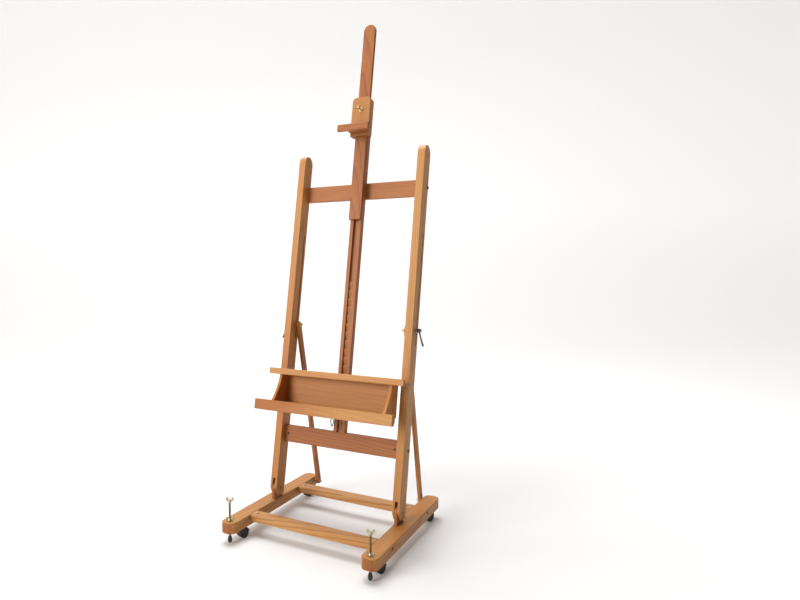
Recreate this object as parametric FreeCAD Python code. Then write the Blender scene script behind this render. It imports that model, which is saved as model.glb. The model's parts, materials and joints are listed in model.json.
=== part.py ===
import FreeCAD, Part
import math
import os

# Convertible studio easel in oiled beech, standing with its frame leaning back.
# X runs to the right as seen from the front, Y to the back, Z up, in millimetres.
# The origin is on the floor under the middle of the whole outline.
#
# Everything on the H-shaped frame is drawn upright, with the frame's hinge axis on the
# X axis through (0, 0, 0), and on_frame() then leans it back into place.

# ---------------------------------------------------------------- driving dimensions
LEAN = 10.0                  # backward lean of the frame, degrees

RUNNER_Y = (-331.0, 343.0)   # the runners' ends, from the hinge axis
RUNNER_INNER = 265.0         # half the gap between the runners
RUNNER_OUTER = 328.0
RUNNER_HEIGHT = 43.0
CASTOR_HEIGHT = 46.0         # floor to the underside of the runners
RUNNER_CORNER = 24.0         # plan radius of the runners' corners
RAIL_DEPTH = 48.0
RAIL_THICK = 28.0
FRONT_RAIL_Y = -190.0        # rail centres
REAR_RAIL_Y = 180.0

HINGE_Z = 132.0              # height of the frame's hinge axis
TONGUE_X = (270.2, 281.8)    # hinge tongue, from face to face
TONGUE_HALF = 31.0
FORK_TOP = 42.0              # the forked foot of each post is cut up to here

POST_X = (260.0, 292.0)
POST_HALF = 32.0             # half the posts' depth
POST_TOP = 1450.0            # along the post, from the hinge axis
POST_FOOT = -27.5            # just short enough to swing clear of the runners
POST_TOE = -12.0             # the foot's front corner is cut off up to here

LOWER_BAR_Y = (-2.0, 28.0)
LOWER_BAR_Z = (196.0, 266.0)
UPPER_BAR_Y = (14.4, 32.0)
UPPER_BAR_Z = (1247.0, 1315.0)
BARREL_NUT_X = 243.0

STRUT_X = (243.0, 257.0)
STRUT_WIDTH = 26.0
STRUT_FOOT_Y = 316.0         # its lower pivot, from the frame's hinge axis
STRUT_FOOT_Z = 70.0
PIN_Z = 700.0                # its upper pivot, along the leaning post
SLOT_Y = 14.0                # the slot lies this far behind the middle of the post
SLOT_WIDTH = 8.6

MAST_HALF = 26.0
MAST_Y = (-12.0, 14.0)
MAST_TOP = 1637.0
THUMB_Z = (1214.0, 1576.0)   # the wing screws that hold the extension bar
GROOVE_MOUTH = 10.5          # half widths of the dovetail groove
GROOVE_FLOOR = 12.5
GROOVE_DEPTH = 12.0

TOOTH_PITCH = 35.0
TOOTH_COUNT = 17
RACK_FOOT = 292.5

BAR_HALF = 27.0              # the extension bar
BAR_Y = (-28.4, -12.4)
TONGUE_DEEP = 10.4           # its dovetail tongue
BAR_Z = (1150.0, 2010.0)

CLAMP_HALF = 42.0
CLAMP_Y = (-50.0, -14.0)
CLAMP_Z = (1506.0, 1674.0)
CLAMP_LIP_HALF = 70.0
CLAMP_LIP_FRONT = -116.0
CLAMP_LIP_THICK = 14.0
CLAMP_LIP_TALL = 28.0
CLAMP_SCREW_Z = 1618.0

TRAY_HALF = 300.0
SHELF_Y = (-108.0, -35.0)
SHELF_Z = (480.0, 505.0)
TRAY_Z = (334.0, 375.0)      # bottom of the tray, top of its front lip
TRAY_FRONT = -197.0
BRACKET_X = (240.0, 252.0)
BACK_BOARD_Y = (-47.0, -37.0)
CARRIAGE_Z = (360.0, 470.0)
CARRIAGE_HALF = 40.0
PAWL_PIN = (-22.0, 440.0)    # y, z of the pawl's pin
PAWL_CATCH = -7.6            # tip of the catch, held just clear of the teeth
PAWL_HALF = 4.6              # half its thickness
EYE_DROP = 68.0              # the wire's eye, below the pawl's pin

BOLT_R = 4.0                 # M8 shanks
CONNECTOR_R = 3.0            # connector bolts, in holes of CONNECTOR_HOLE
CONNECTOR_HOLE = 3.2
BARREL_R = 4.9               # barrel nuts, in holes of BARREL_HOLE
BARREL_HOLE = 5.1
MAST_SCREW_X = 14.0          # the two screws that hold the mast to the upper crossbar
BIG_WING = (7.0, 34.0, 20.0, 3.4)      # hub radius, span, height, blade thickness
NUT_WING = (8.0, 33.0, 15.0, 3.2)
SMALL_WING = (6.0, 26.0, 15.0, 3.2)
PLUG_R = 6.0                 # wooden plugs over the frame's hinge pins
PLUG_DEEP = 4.0
RUNNING = 0.05               # radial clearance of a turning shank
GAP = 0.3                    # between pieces that slide or nearly touch

CASTOR_X = 293.0
CASTOR_Y = (-247.0, 270.0)
CASTOR_TRAIL = 14.0
CASTOR_HEADING = 72.0        # degrees from +X, where the wheels trail at rest
WHEEL_R = 20.0
FOOT_X = 296.5               # levelling feet
FOOT_Y = -307.0
FOOT_LIFT = 5.0              # the feet hang just clear of the floor, with the easel on its castors
FOOT_TALL = 26.0
SCREW_HEAD_Z = 163.0
BALL_UP = 8.0                # the screw's ball end, above the foot's sole
WING_TURN = 28.0             # how far the wings stand turned at rest, degrees

EASE = 2.0                   # rounding of the timber's edges
FINE_EASE = 1.0


def middle(span):
    return (span[0] + span[1]) / 2


# ---------------------------------------------------------------- derived places
UNDERSIDE = CASTOR_HEIGHT
DECK = CASTOR_HEIGHT + RUNNER_HEIGHT
lean = math.radians(LEAN)
BASE_Y = -middle(RUNNER_Y)   # centres the outline on the origin
STRUT_FOOT_DROP = STRUT_FOOT_Z - HINGE_Z

nodes = {}


def V(x, y, z):
    return FreeCAD.Vector(x, y, z)


X_AXIS, Y_AXIS, Z_AXIS = V(1, 0, 0), V(0, 1, 0), V(0, 0, 1)


# ---------------------------------------------------------------- helpers
def strut_foot_seen(angle):
    """The strut's lower pivot as seen from the post, for a lean in degrees: behind it and along it."""
    a = math.radians(angle)
    behind = STRUT_FOOT_Y * math.cos(a) - STRUT_FOOT_DROP * math.sin(a)
    along = STRUT_FOOT_Y * math.sin(a) + STRUT_FOOT_DROP * math.cos(a)
    return behind, along


rest_behind, rest_along = strut_foot_seen(LEAN)
STRUT_LENGTH = math.hypot(rest_behind - SLOT_Y, PIN_Z - rest_along)


def pin_height(angle):
    """Distance of the slot bolt from the hinge axis along the post, for a lean in degrees."""
    behind, along = strut_foot_seen(angle)
    return along + math.sqrt(STRUT_LENGTH ** 2 - (behind - SLOT_Y) ** 2)


SLOT_Z = (pin_height(0.0) - 5.0, pin_height(90.0) + 5.0)


def box(x, y, z):
    return Part.makeBox(x[1] - x[0], y[1] - y[0], z[1] - z[0], V(x[0], y[0], z[0]))


def board(x, y, z, ease=EASE):
    """A planed timber with all its edges eased."""
    plain = box(x, y, z)
    return plain.makeFillet(ease, plain.Edges)


def rod(radius, start, end):
    return Part.makeCylinder(radius, (end - start).Length, start, end - start)


def x_rod(radius, x, y, z):
    return rod(radius, V(x[0], y, z), V(x[1], y, z))


def y_rod(radius, x, y, z):
    return rod(radius, V(x, y[0], z), V(x, y[1], z))


def z_rod(radius, x, y, z):
    return rod(radius, V(x, y, z[0]), V(x, y, z[1]))


def hexagon(across, start, end):
    """A hexagonal prism, such as a nut, from start to end."""
    wire = Part.makePolygon([V(across / math.sqrt(3) * math.cos(math.radians(60 * k)),
                               across / math.sqrt(3) * math.sin(math.radians(60 * k)), 0)
                             for k in range(7)])
    axis = end - start
    prism = Part.Face(wire).extrude(V(0, 0, axis.Length))
    prism.Placement = FreeCAD.Placement(start, FreeCAD.Rotation(Z_AXIS, axis))
    return prism


def prism_x(points, x):
    """Extrudes an outline given as (y, z) points from x[0] to x[1]."""
    wire = Part.makePolygon([V(x[0], y, z) for y, z in points + points[:1]])
    return Part.Face(wire).extrude(V(x[1] - x[0], 0, 0))


def prism_z(points, z):
    """Extrudes an outline given as (x, y) points from z[0] to z[1]."""
    wire = Part.makePolygon([V(x, y, z[0]) for x, y in points + points[:1]])
    return Part.Face(wire).extrude(V(0, 0, z[1] - z[0]))


def join(shapes):
    return shapes[0].fuse(shapes[1:]).removeSplitter()


def mirrored(shape):
    return shape.mirror(V(0, 0, 0), X_AXIS)


def both(shape):
    """The shape and its mirror image, as two separate solids."""
    return [shape, mirrored(shape)]


def placed(shape, angle, place, axis=X_AXIS):
    moved = shape.copy()
    moved.rotate(V(0, 0, 0), axis, angle)
    moved.translate(place)
    return moved


def on_frame(shape):
    return placed(shape, -LEAN, V(0, BASE_Y, HINGE_Z))


def on_base(shape):
    return placed(shape, 0, V(0, BASE_Y, 0))


def keep(name, shapes, place):
    """Stores one node: a single solid, or a group of separate ones."""
    group = [place(shape) for shape in shapes]
    nodes[name] = group[0] if len(group) == 1 else Part.makeCompound(group)


def keep_pair(name, shape, place):
    """Stores a right-hand piece and its mirror image as two nodes."""
    keep(name + "_right", [shape], place)
    keep(name + "_left", [mirrored(shape)], place)


def eased_ends(shape, axis, ease):
    """Rounds the edges that lie across an axis, all round the two end faces."""
    low, high = getattr(shape.BoundBox, axis + "Min"), getattr(shape.BoundBox, axis + "Max")
    edges = []
    for edge in shape.Edges:
        size = edge.BoundBox
        flat = getattr(size, axis + "Max") - getattr(size, axis + "Min") < 0.01
        place = getattr(size, axis + "Min")
        if flat and (abs(place - low) < 0.01 or abs(place - high) < 0.01):
            edges.append(edge)
    return shape.makeFillet(ease, edges)


def wing(hub_r, span, height, thick):
    """Two upswept wings on a tapered hub, standing on z = 0 and spread along x."""
    half = span / 2
    tip = half * 0.3
    start = V(hub_r * 0.3, -thick / 2, height * 0.1)
    low = V(hub_r * 1.05, -thick / 2, height * 0.05)
    outer = V(half, -thick / 2, height - tip)
    top = V(half - tip, -thick / 2, height)
    inner = V(hub_r * 0.5, -thick / 2, height * 0.48)
    edges = [Part.makeLine(start, low),
             Part.Arc(low, V(half * 0.86, -thick / 2, height * 0.32), outer).toShape(),
             Part.Arc(outer, V(half - tip * 0.25, -thick / 2, height - tip * 0.2), top).toShape(),
             Part.Arc(top, V(half * 0.55, -thick / 2, height * 0.66), inner).toShape(),
             Part.makeLine(inner, start)]
    blade = Part.Face(Part.Wire(edges)).extrude(V(0, thick, 0))
    hub = Part.makeCone(hub_r, hub_r * 0.72, height * 0.55)
    hub.rotate(V(0, 0, 0), Z_AXIS, 90)
    return hub.fuse(both(blade))


# ---------------------------------------------------------------- base
def runner():
    plan = box((RUNNER_INNER, RUNNER_OUTER), RUNNER_Y, (UNDERSIDE, DECK))
    upright = [e for e in plan.Edges if e.BoundBox.ZLength > RUNNER_HEIGHT / 2]
    timber = eased_ends(plan.makeFillet(RUNNER_CORNER, upright), "Z", EASE + 1)
    cuts = [box((TONGUE_X[0] - 0.1, TONGUE_X[1] + 0.1), (-TONGUE_HALF - 0.1, TONGUE_HALF + 0.1),
                (DECK - 30.0, DECK + 1)),
            z_rod(7.0, FOOT_X, FOOT_Y, (UNDERSIDE - 1, DECK + 1)),
            x_rod(BOLT_R, (RUNNER_INNER - 1, 296), STRUT_FOOT_Y, STRUT_FOOT_Z)]
    for y in (FRONT_RAIL_Y, REAR_RAIL_Y):
        cuts.append(x_rod(CONNECTOR_HOLE, (RUNNER_INNER - 1, RUNNER_OUTER + 1), y, DECK - RAIL_THICK / 2))
        cuts.append(x_rod(6.5, (RUNNER_OUTER - 7, RUNNER_OUTER + 1), y, DECK - RAIL_THICK / 2))
    for y in CASTOR_Y:
        cuts.append(z_rod(BOLT_R, CASTOR_X, y, (UNDERSIDE - 1, UNDERSIDE + 22)))
    return timber.cut(cuts)


def rail(y):
    timber = board((-RUNNER_INNER, RUNNER_INNER), (y - RAIL_DEPTH / 2, y + RAIL_DEPTH / 2),
                   (DECK - RAIL_THICK, DECK))
    bolt_z = DECK - RAIL_THICK / 2
    cuts = both(z_rod(BARREL_HOLE, BARREL_NUT_X, y, (DECK - RAIL_THICK + 3, DECK + 1)))
    cuts += both(x_rod(CONNECTOR_HOLE, (BARREL_NUT_X - 8, RUNNER_INNER + 1), y, bolt_z))
    return timber.cut(cuts)


def socket_bolt(x, y, z):
    """A connector bolt along x, its socket head at the outer end x[1]."""
    return join([x_rod(CONNECTOR_R, x, y, z), socket_head(x[1], y, z)])


def socket_head(x, y, z):
    """A round socket head, 4 mm thick, seen from outside at x + 4."""
    head = x_rod(6.0, (x, x + 4), y, z)
    socket = hexagon(5.0, V(x + 1.6, y, z), V(x + 4.1, y, z))
    rim = [e for e in head.Edges if e.BoundBox.XMin > x + 3.9]
    return head.makeFillet(0.8, rim).cut(socket)


def barrel_nut(length, across):
    """A barrel nut along z with a screwdriver slot in its top and its cross hole along x."""
    nut = Part.makeCylinder(BARREL_R, length)
    slot = box((-0.7, 0.7), (-6, 6), (length - 1.4, length + 1))
    return nut.cut([slot, x_rod(CONNECTOR_R + RUNNING, (-6, 6), 0, across)])


def hinge_tongue():
    y0, y1, low = -TONGUE_HALF, TONGUE_HALF, DECK - 30.0
    straight = box(TONGUE_X, (y0, y1), (low, HINGE_Z))
    crown = x_rod(TONGUE_HALF, TONGUE_X, 0, HINGE_Z)
    hole = x_rod(BOLT_R, (TONGUE_X[0] - 1, TONGUE_X[1] + 1), 0, HINGE_Z)
    return join([straight, crown]).cut(hole)


def pivot_pin():
    """Steel pin pressed through the tongue, on which the post's forked foot turns."""
    return x_rod(BOLT_R, (POST_X[0] + PLUG_DEEP + GAP, POST_X[1] - PLUG_DEEP - GAP), 0, HINGE_Z)


def pivot_plugs():
    """Wooden plugs that close the pin's hole on both faces of a post."""
    return [x_rod(PLUG_R, (POST_X[0], POST_X[0] + PLUG_DEEP), 0, 0),
            x_rod(PLUG_R, (POST_X[1] - PLUG_DEEP, POST_X[1]), 0, 0)]


def strut_pivot_bolt():
    shank = x_rod(BOLT_R, (STRUT_X[0] - 1, 295), STRUT_FOOT_Y, STRUT_FOOT_Z)
    flange = x_rod(8.5, (STRUT_X[0] - 2.3, STRUT_X[0] - GAP), STRUT_FOOT_Y, STRUT_FOOT_Z)
    dome = x_rod(6.5, (STRUT_X[0] - 8, STRUT_X[0] - 2.3), STRUT_FOOT_Y, STRUT_FOOT_Z)
    dome = dome.makeFillet(3.0, [e for e in dome.Edges if e.BoundBox.XMax < STRUT_X[0] - 7.5])
    return join([shank, flange, dome])


def spacer(radius, x, y, z):
    return x_rod(radius, x, y, z).cut(x_rod(BOLT_R + 0.02, (x[0] - 1, x[1] + 1), y, z))


def threaded_insert(length, flange_r):
    """A brass insert along z: a sleeve under a thin flange whose top is at z = 0."""
    sleeve = Part.makeCylinder(7.0, length, V(0, 0, -length))
    flange = Part.makeCylinder(flange_r, 2.0)
    return join([sleeve, flange]).cut(z_rod(BOLT_R + RUNNING, 0, 0, (-length - 1, 3)))


def lock_wing_nut():
    nut = wing(*NUT_WING)
    return nut.cut(z_rod(BOLT_R + RUNNING, 0, 0, (-1, 20)))


def levelling_screw():
    """The turning part: threaded rod, ball end and wing head, drawn from the floor."""
    ball_z = FOOT_LIFT + BALL_UP
    shank = z_rod(BOLT_R, 0, 0, (ball_z, SCREW_HEAD_Z + 4.0))
    ball = Part.makeSphere(5.0, V(0, 0, ball_z))
    head = wing(*BIG_WING)
    head.translate(V(0, 0, SCREW_HEAD_Z))
    return join([shank, ball, head])


def levelling_foot():
    """Bulb-shaped rubber foot with a flat sole and a round socket for the ball end."""
    lower = Part.makeCone(5.0, 8.5, FOOT_TALL * 0.4)
    upper = Part.makeCone(8.5, 6.0, FOOT_TALL * 0.6, V(0, 0, FOOT_TALL * 0.4))
    bulb = join([lower, upper]).cut([Part.makeSphere(5.0 + RUNNING, V(0, 0, BALL_UP)),
                                     z_rod(4.7, 0, 0, (BALL_UP, FOOT_TALL + 1))])
    bulb.translate(V(0, 0, FOOT_LIFT))
    return bulb


# ---------------------------------------------------------------- castors
def castor_plate():
    disc = z_rod(17.0, 0, 0, (CASTOR_HEIGHT - 2.6, CASTOR_HEIGHT))
    stem = z_rod(BOLT_R - 0.1, 0, 0, (CASTOR_HEIGHT - 2.6, CASTOR_HEIGHT + 20))
    return join([disc, stem])


def castor_hood():
    """Swivelling hood: a rounded mudguard over twin wheels, with a web between them."""
    x, z = CASTOR_TRAIL, WHEEL_R
    guard = rod(WHEEL_R + 3.0, V(x, -17, z), V(x, 17, z))
    guard = guard.makeFillet(4.0, guard.Edges)
    hollow = rod(WHEEL_R + 0.9, V(x, -20, z), V(x, 20, z))
    web = rod(WHEEL_R + 2.0, V(x, -3, z), V(x, 3, z))
    lower = box((-30, 60), (-30, 30), (-30, z - 4))
    front = box((x + 8, 60), (-30, 30), (-30, z + 4))
    shell = guard.cut(hollow)
    neck = z_rod(11.0, 0, 0, (CASTOR_HEIGHT - 16, CASTOR_HEIGHT - 3))
    neck = neck.cut(rod(WHEEL_R + 0.9, V(x, -20, z), V(x, 20, z)))
    hood = join([shell, web, neck]).cut([lower, front, rod(3.0 + RUNNING, V(x, -5, z), V(x, 5, z))])
    roof = box((-40, 60), (-30, 30), (CASTOR_HEIGHT - 2.9, 60))
    return hood.cut(roof)


def castor_axle():
    x, z = CASTOR_TRAIL, WHEEL_R
    return rod(3.0, V(x, -14.5, z), V(x, 14.5, z))


def castor_wheel():
    """One wheel of the pair, on the +y side: rounded tread, dished face, hub boss."""
    x, z, inner, outer = CASTOR_TRAIL, WHEEL_R, 3.5, 15.5
    profile = [(3.0, inner), (19.0, inner), (WHEEL_R, inner + 1.5), (WHEEL_R, outer - 3.5),
               (18.5, outer - 1.0), (15.5, outer), (14.0, outer - 2.5), (7.5, outer - 3.0),
               (6.0, outer - 0.5), (3.0, outer - 0.5)]
    wire = Part.makePolygon([V(x + r, y, z) for r, y in profile + profile[:1]])
    return Part.Face(wire).revolve(V(x, 0, z), Y_AXIS, 360)


def castors():
    plates = []
    for side, sign in (("right", 1), ("left", -1)):
        for end, y in zip(("front", "rear"), CASTOR_Y):
            spot = V(sign * CASTOR_X, BASE_Y + y, 0)

            def place(shape):
                return placed(shape, CASTOR_HEADING, spot, Z_AXIS)

            label = end + "_" + side
            plates.append(place(castor_plate()))
            wheel = castor_wheel()
            pair = [wheel, wheel.mirror(V(0, 0, 0), Y_AXIS)]
            keep("castor_hood_" + label, [castor_hood()], place)
            keep("castor_wheels_" + label, pair + [castor_axle()], place)
    nodes["castor_plates"] = Part.makeCompound(plates)


def base():
    keep_pair("runner", runner(), on_base)
    keep("front_rail", [rail(FRONT_RAIL_Y)], on_base)
    keep("rear_rail", [rail(REAR_RAIL_Y)], on_base)
    keep("hinge_tongues", both(hinge_tongue()), on_base)
    keep("pivot_pins", both(pivot_pin()), on_base)
    keep("strut_pivot_bolts", both(strut_pivot_bolt()), on_base)
    washer = spacer(10.0, (STRUT_X[1] + GAP, RUNNER_INNER), STRUT_FOOT_Y, STRUT_FOOT_Z)
    keep("strut_spacers", both(washer), on_base)
    bolts, nuts = [], []
    for y in (FRONT_RAIL_Y, REAR_RAIL_Y):
        bolts += both(socket_bolt((BARREL_NUT_X - 6, RUNNER_OUTER - 7), y, DECK - RAIL_THICK / 2))
        nut = barrel_nut(22.0, 11.0)
        nut.translate(V(BARREL_NUT_X, y, DECK - RAIL_THICK + 3))
        nuts += both(nut)
    keep("rail_fasteners", bolts + [nut.cut(bolts) for nut in nuts], on_base)

    insert = threaded_insert(34.0, 10.5)
    insert.translate(V(FOOT_X, FOOT_Y, DECK))
    keep("levelling_inserts", both(insert), on_base)
    for side, sign in (("right", 1), ("left", -1)):
        spot = V(sign * FOOT_X, BASE_Y + FOOT_Y, 0)

        def place(shape):
            return placed(shape, WING_TURN, spot, Z_AXIS)

        keep("levelling_screw_" + side, [levelling_screw()], place)
        keep("levelling_foot_" + side, [levelling_foot()], place)
        nut = lock_wing_nut()
        nut.translate(V(0, 0, DECK + 2.0 + GAP))
        keep("lock_wing_nut_" + side, [nut], place)


# ---------------------------------------------------------------- H frame
def post():
    """Round-topped post with a forked foot and the long slot for the strut's bolt."""
    h, x = POST_HALF, POST_X
    shoulder = POST_TOP - h
    edges = [Part.makeLine(V(x[0], -h, 2), V(x[0], POST_TOE, POST_FOOT)),
             Part.makeLine(V(x[0], POST_TOE, POST_FOOT), V(x[0], h, POST_FOOT)),
             Part.makeLine(V(x[0], h, POST_FOOT), V(x[0], h, shoulder)),
             Part.Arc(V(x[0], h, shoulder), V(x[0], 0, POST_TOP), V(x[0], -h, shoulder)).toShape(),
             Part.makeLine(V(x[0], -h, shoulder), V(x[0], -h, 2))]
    timber = Part.Face(Part.Wire(edges)).extrude(V(x[1] - x[0], 0, 0))
    timber = eased_ends(timber, "X", EASE)
    through = (x[0] - 1, x[1] + 1)
    slot_half = SLOT_WIDTH / 2
    cuts = [box(through, (SLOT_Y - slot_half, SLOT_Y + slot_half), SLOT_Z),
            x_rod(slot_half, through, SLOT_Y, SLOT_Z[0]),
            x_rod(slot_half, through, SLOT_Y, SLOT_Z[1]),
            box((TONGUE_X[0] - 0.2, TONGUE_X[1] + 0.2), (-h - 1, h + 1), (POST_FOOT - 1, FORK_TOP)),
            x_rod(BOLT_R + RUNNING, through, 0, 0),
            x_rod(PLUG_R, (x[1] - PLUG_DEEP, x[1] + 1), 0, 0),
            x_rod(PLUG_R, (x[0] - 1, x[0] + PLUG_DEEP), 0, 0)]
    for y, z in crossbar_bolt_places():
        cuts.append(x_rod(CONNECTOR_HOLE, through, y, z))
    return timber.cut(cuts)


def crossbar_bolt_places():
    return [(middle(LOWER_BAR_Y), middle(LOWER_BAR_Z)), (middle(UPPER_BAR_Y), middle(UPPER_BAR_Z))]


def tenon(clearance):
    return box((-16 - clearance, 16 + clearance), (1 - clearance, 11 + clearance),
               (LOWER_BAR_Z[1] - 30 - clearance, LOWER_BAR_Z[1] + 1))


def lower_crossbar():
    timber = board((-POST_X[0], POST_X[0]), LOWER_BAR_Y, LOWER_BAR_Z)
    y, z = crossbar_bolt_places()[0]
    cuts = both(y_rod(BARREL_HOLE, BARREL_NUT_X, (LOWER_BAR_Y[0] - 1, LOWER_BAR_Y[1] - 2), z))
    cuts += both(x_rod(CONNECTOR_HOLE, (BARREL_NUT_X - 8, POST_X[0] + 1), y, z))
    return timber.cut(cuts + [tenon(0.1)])


def upper_crossbar():
    timber = board((-POST_X[0], POST_X[0]), UPPER_BAR_Y, UPPER_BAR_Z)
    y, z = crossbar_bolt_places()[1]
    cuts = both(y_rod(BARREL_HOLE, BARREL_NUT_X, (UPPER_BAR_Y[0] + 2, UPPER_BAR_Y[1] + 1), z))
    cuts += both(x_rod(CONNECTOR_HOLE, (BARREL_NUT_X - 8, POST_X[0] + 1), y, z))
    for x in (-MAST_SCREW_X, MAST_SCREW_X):
        cuts.append(y_rod(2.1, x, (UPPER_BAR_Y[0] - 1, UPPER_BAR_Y[1] + 1), z))
        cuts.append(y_rod(4.1, x, (UPPER_BAR_Y[1] - 2.2, UPPER_BAR_Y[1] + 1), z))
    return timber.cut(cuts)


def crossbar_nuts(bolts):
    """Barrel nuts, slotted end forwards below and backwards above."""
    nuts = []
    for (y, z), turn, start in ((crossbar_bolt_places()[0], 90, LOWER_BAR_Y[1] - 3),
                                (crossbar_bolt_places()[1], -90, UPPER_BAR_Y[0] + 3)):
        length = 23.0 if turn > 0 else 12.5
        nut = barrel_nut(length, abs(start - y))
        nut.rotate(V(0, 0, 0), X_AXIS, turn)
        nut.translate(V(BARREL_NUT_X, start, z))
        nuts += both(nut)
    return [nut.cut(bolts) for nut in nuts]


def mast():
    """Central mast with its dovetail groove in front and a tenon into the lower crossbar."""
    timber = board((-MAST_HALF, MAST_HALF), MAST_Y, (LOWER_BAR_Z[1], MAST_TOP))
    front, floor = MAST_Y[0], MAST_Y[0] + GROOVE_DEPTH
    groove = prism_z([(-GROOVE_MOUTH, front - 0.001), (GROOVE_MOUTH, front - 0.001),
                      (GROOVE_FLOOR, floor), (-GROOVE_FLOOR, floor)],
                     (LOWER_BAR_Z[1] - 1, MAST_TOP + 1))
    cuts = [groove]
    for z in THUMB_Z:
        cuts.append(y_rod(6.0, 0, (floor - 1, MAST_Y[1] + 1), z))
    for x in (-MAST_SCREW_X, MAST_SCREW_X):
        cuts.append(y_rod(1.9, x, (4, MAST_Y[1] + 1), middle(UPPER_BAR_Z)))
    return join([timber, tenon(0)]).cut(cuts)


def rack():
    """Toothed strip in the mast's groove: each tooth slopes up to a flat upper catch."""
    floor = MAST_Y[0] + GROOVE_DEPTH
    back, root, tip = floor - 0.05, floor - 2.0, floor - 7.0
    points = [(back, RACK_FOOT)]
    for k in range(TOOTH_COUNT):
        z = RACK_FOOT + k * TOOTH_PITCH
        points += [(root, z), (root, z + 4.0), (tip, z + TOOTH_PITCH - 5.0), (tip, z + TOOTH_PITCH)]
    points += [(back, RACK_FOOT + TOOTH_COUNT * TOOTH_PITCH)]
    return prism_x(points, (-9.5, 9.5))


def crossbar_bolts():
    bolts = []
    for y, z in crossbar_bolt_places():
        bolts += both(socket_bolt((BARREL_NUT_X - 6, POST_X[1]), y, z))
    return bolts


def mast_screws():
    screws = []
    z = middle(UPPER_BAR_Z)
    for x in (-MAST_SCREW_X, MAST_SCREW_X):
        shank = y_rod(1.9, x, (5, UPPER_BAR_Y[1] - 2), z)
        head = y_rod(4.0, x, (UPPER_BAR_Y[1] - 2.2, UPPER_BAR_Y[1] - 0.4), z)
        slot = box((x - 5, x + 5), (UPPER_BAR_Y[1] - 1.2, UPPER_BAR_Y[1] + 1), (z - 0.5, z + 0.5))
        screws.append(join([shank, head]).cut(slot))
    return screws


def mast_insert(z):
    floor = MAST_Y[0] + GROOVE_DEPTH
    sleeve = y_rod(5.9, 0, (floor + 0.2, MAST_Y[1]), z)
    flange = y_rod(8.5, 0, (MAST_Y[1], MAST_Y[1] + 1.4), z)
    return join([sleeve, flange]).cut(y_rod(BOLT_R + RUNNING, 0, (floor - 1, MAST_Y[1] + 3), z))


def thumb_screw(z):
    """Wing-headed screw from behind the mast, its tip just short of the bar's tongue."""
    tip = BAR_Y[1] + TONGUE_DEEP + GAP
    shank = y_rod(BOLT_R, 0, (tip, 42.0), z)
    head = wing(*SMALL_WING)
    head.rotate(V(0, 0, 0), X_AXIS, -90)
    head.rotate(V(0, 0, 0), Y_AXIS, 35)
    head.translate(V(0, 38.0, z))
    return join([shank, head])


def h_frame():
    keep_pair("post", post(), on_frame)
    keep("pivot_plugs", pivot_plugs() + [mirrored(plug) for plug in pivot_plugs()], on_frame)
    keep("lower_crossbar", [lower_crossbar()], on_frame)
    keep("upper_crossbar", [upper_crossbar()], on_frame)
    bolts = crossbar_bolts()
    keep("crossbar_fasteners", bolts + crossbar_nuts(bolts), on_frame)
    keep("mast", [mast()], on_frame)
    keep("ratchet_rack", [rack()], on_frame)
    keep("mast_fittings", mast_screws() + [mast_insert(z) for z in THUMB_Z], on_frame)
    keep("thumb_screw_lower", [thumb_screw(THUMB_Z[0])], on_frame)
    keep("thumb_screw_upper", [thumb_screw(THUMB_Z[1])], on_frame)


# ---------------------------------------------------------------- struts and their slot bolts
def strut():
    """Drawn upright on its lower pivot at (0, 0)."""
    half = STRUT_WIDTH / 2
    body = box(STRUT_X, (-half, half), (0, STRUT_LENGTH))
    timber = join([body, x_rod(half, STRUT_X, 0, 0), x_rod(half, STRUT_X, 0, STRUT_LENGTH)])
    timber = eased_ends(timber, "X", EASE)
    through = (STRUT_X[0] - 1, STRUT_X[1] + 1)
    return timber.cut([x_rod(BOLT_R + RUNNING, through, 0, 0), x_rod(BOLT_R, through, 0, STRUT_LENGTH)])


def strut_top_nut():
    """Inner half of the strut's top bolt: stub, washer and domed nut."""
    z, face = STRUT_LENGTH, STRUT_X[0]
    stub = x_rod(BOLT_R, (face - 1, STRUT_X[1]), 0, z)
    washer = x_rod(9.0, (face - 1.6, face), 0, z)
    nut = hexagon(13.0, V(face - 8, 0, z), V(face - 1.6, 0, z))
    dome = Part.makeSphere(6.2, V(face - 7.2, 0, z))
    dome = dome.cut(box((face - 7.6, face + 10), (-10, 10), (z - 10, z + 10)))
    return join([stub, washer, nut, dome])


def strut_lean():
    """Forward lean of the strut, in degrees, when the frame stands at LEAN."""
    pin_y = PIN_Z * math.sin(lean) + SLOT_Y * math.cos(lean)
    pin_z = PIN_Z * math.cos(lean) - SLOT_Y * math.sin(lean)
    return math.degrees(math.atan2(STRUT_FOOT_Y - pin_y, pin_z - STRUT_FOOT_DROP))


def on_strut(shape):
    return placed(shape, strut_lean(), V(0, BASE_Y + STRUT_FOOT_Y, STRUT_FOOT_Z))


def slot_bolt():
    """Outer half of the strut's top bolt: the shank in the slot and its washer."""
    shank = x_rod(BOLT_R, (STRUT_X[1] + 1.2, POST_X[1] + 21.5), SLOT_Y, PIN_Z)
    tip = [e for e in shank.Edges if e.BoundBox.XMin > POST_X[1] + 21]
    washer = x_rod(10.0, (POST_X[1] + GAP, POST_X[1] + 2.2), SLOT_Y, PIN_Z)
    return join([shank.makeChamfer(1.0, tip), washer])


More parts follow.
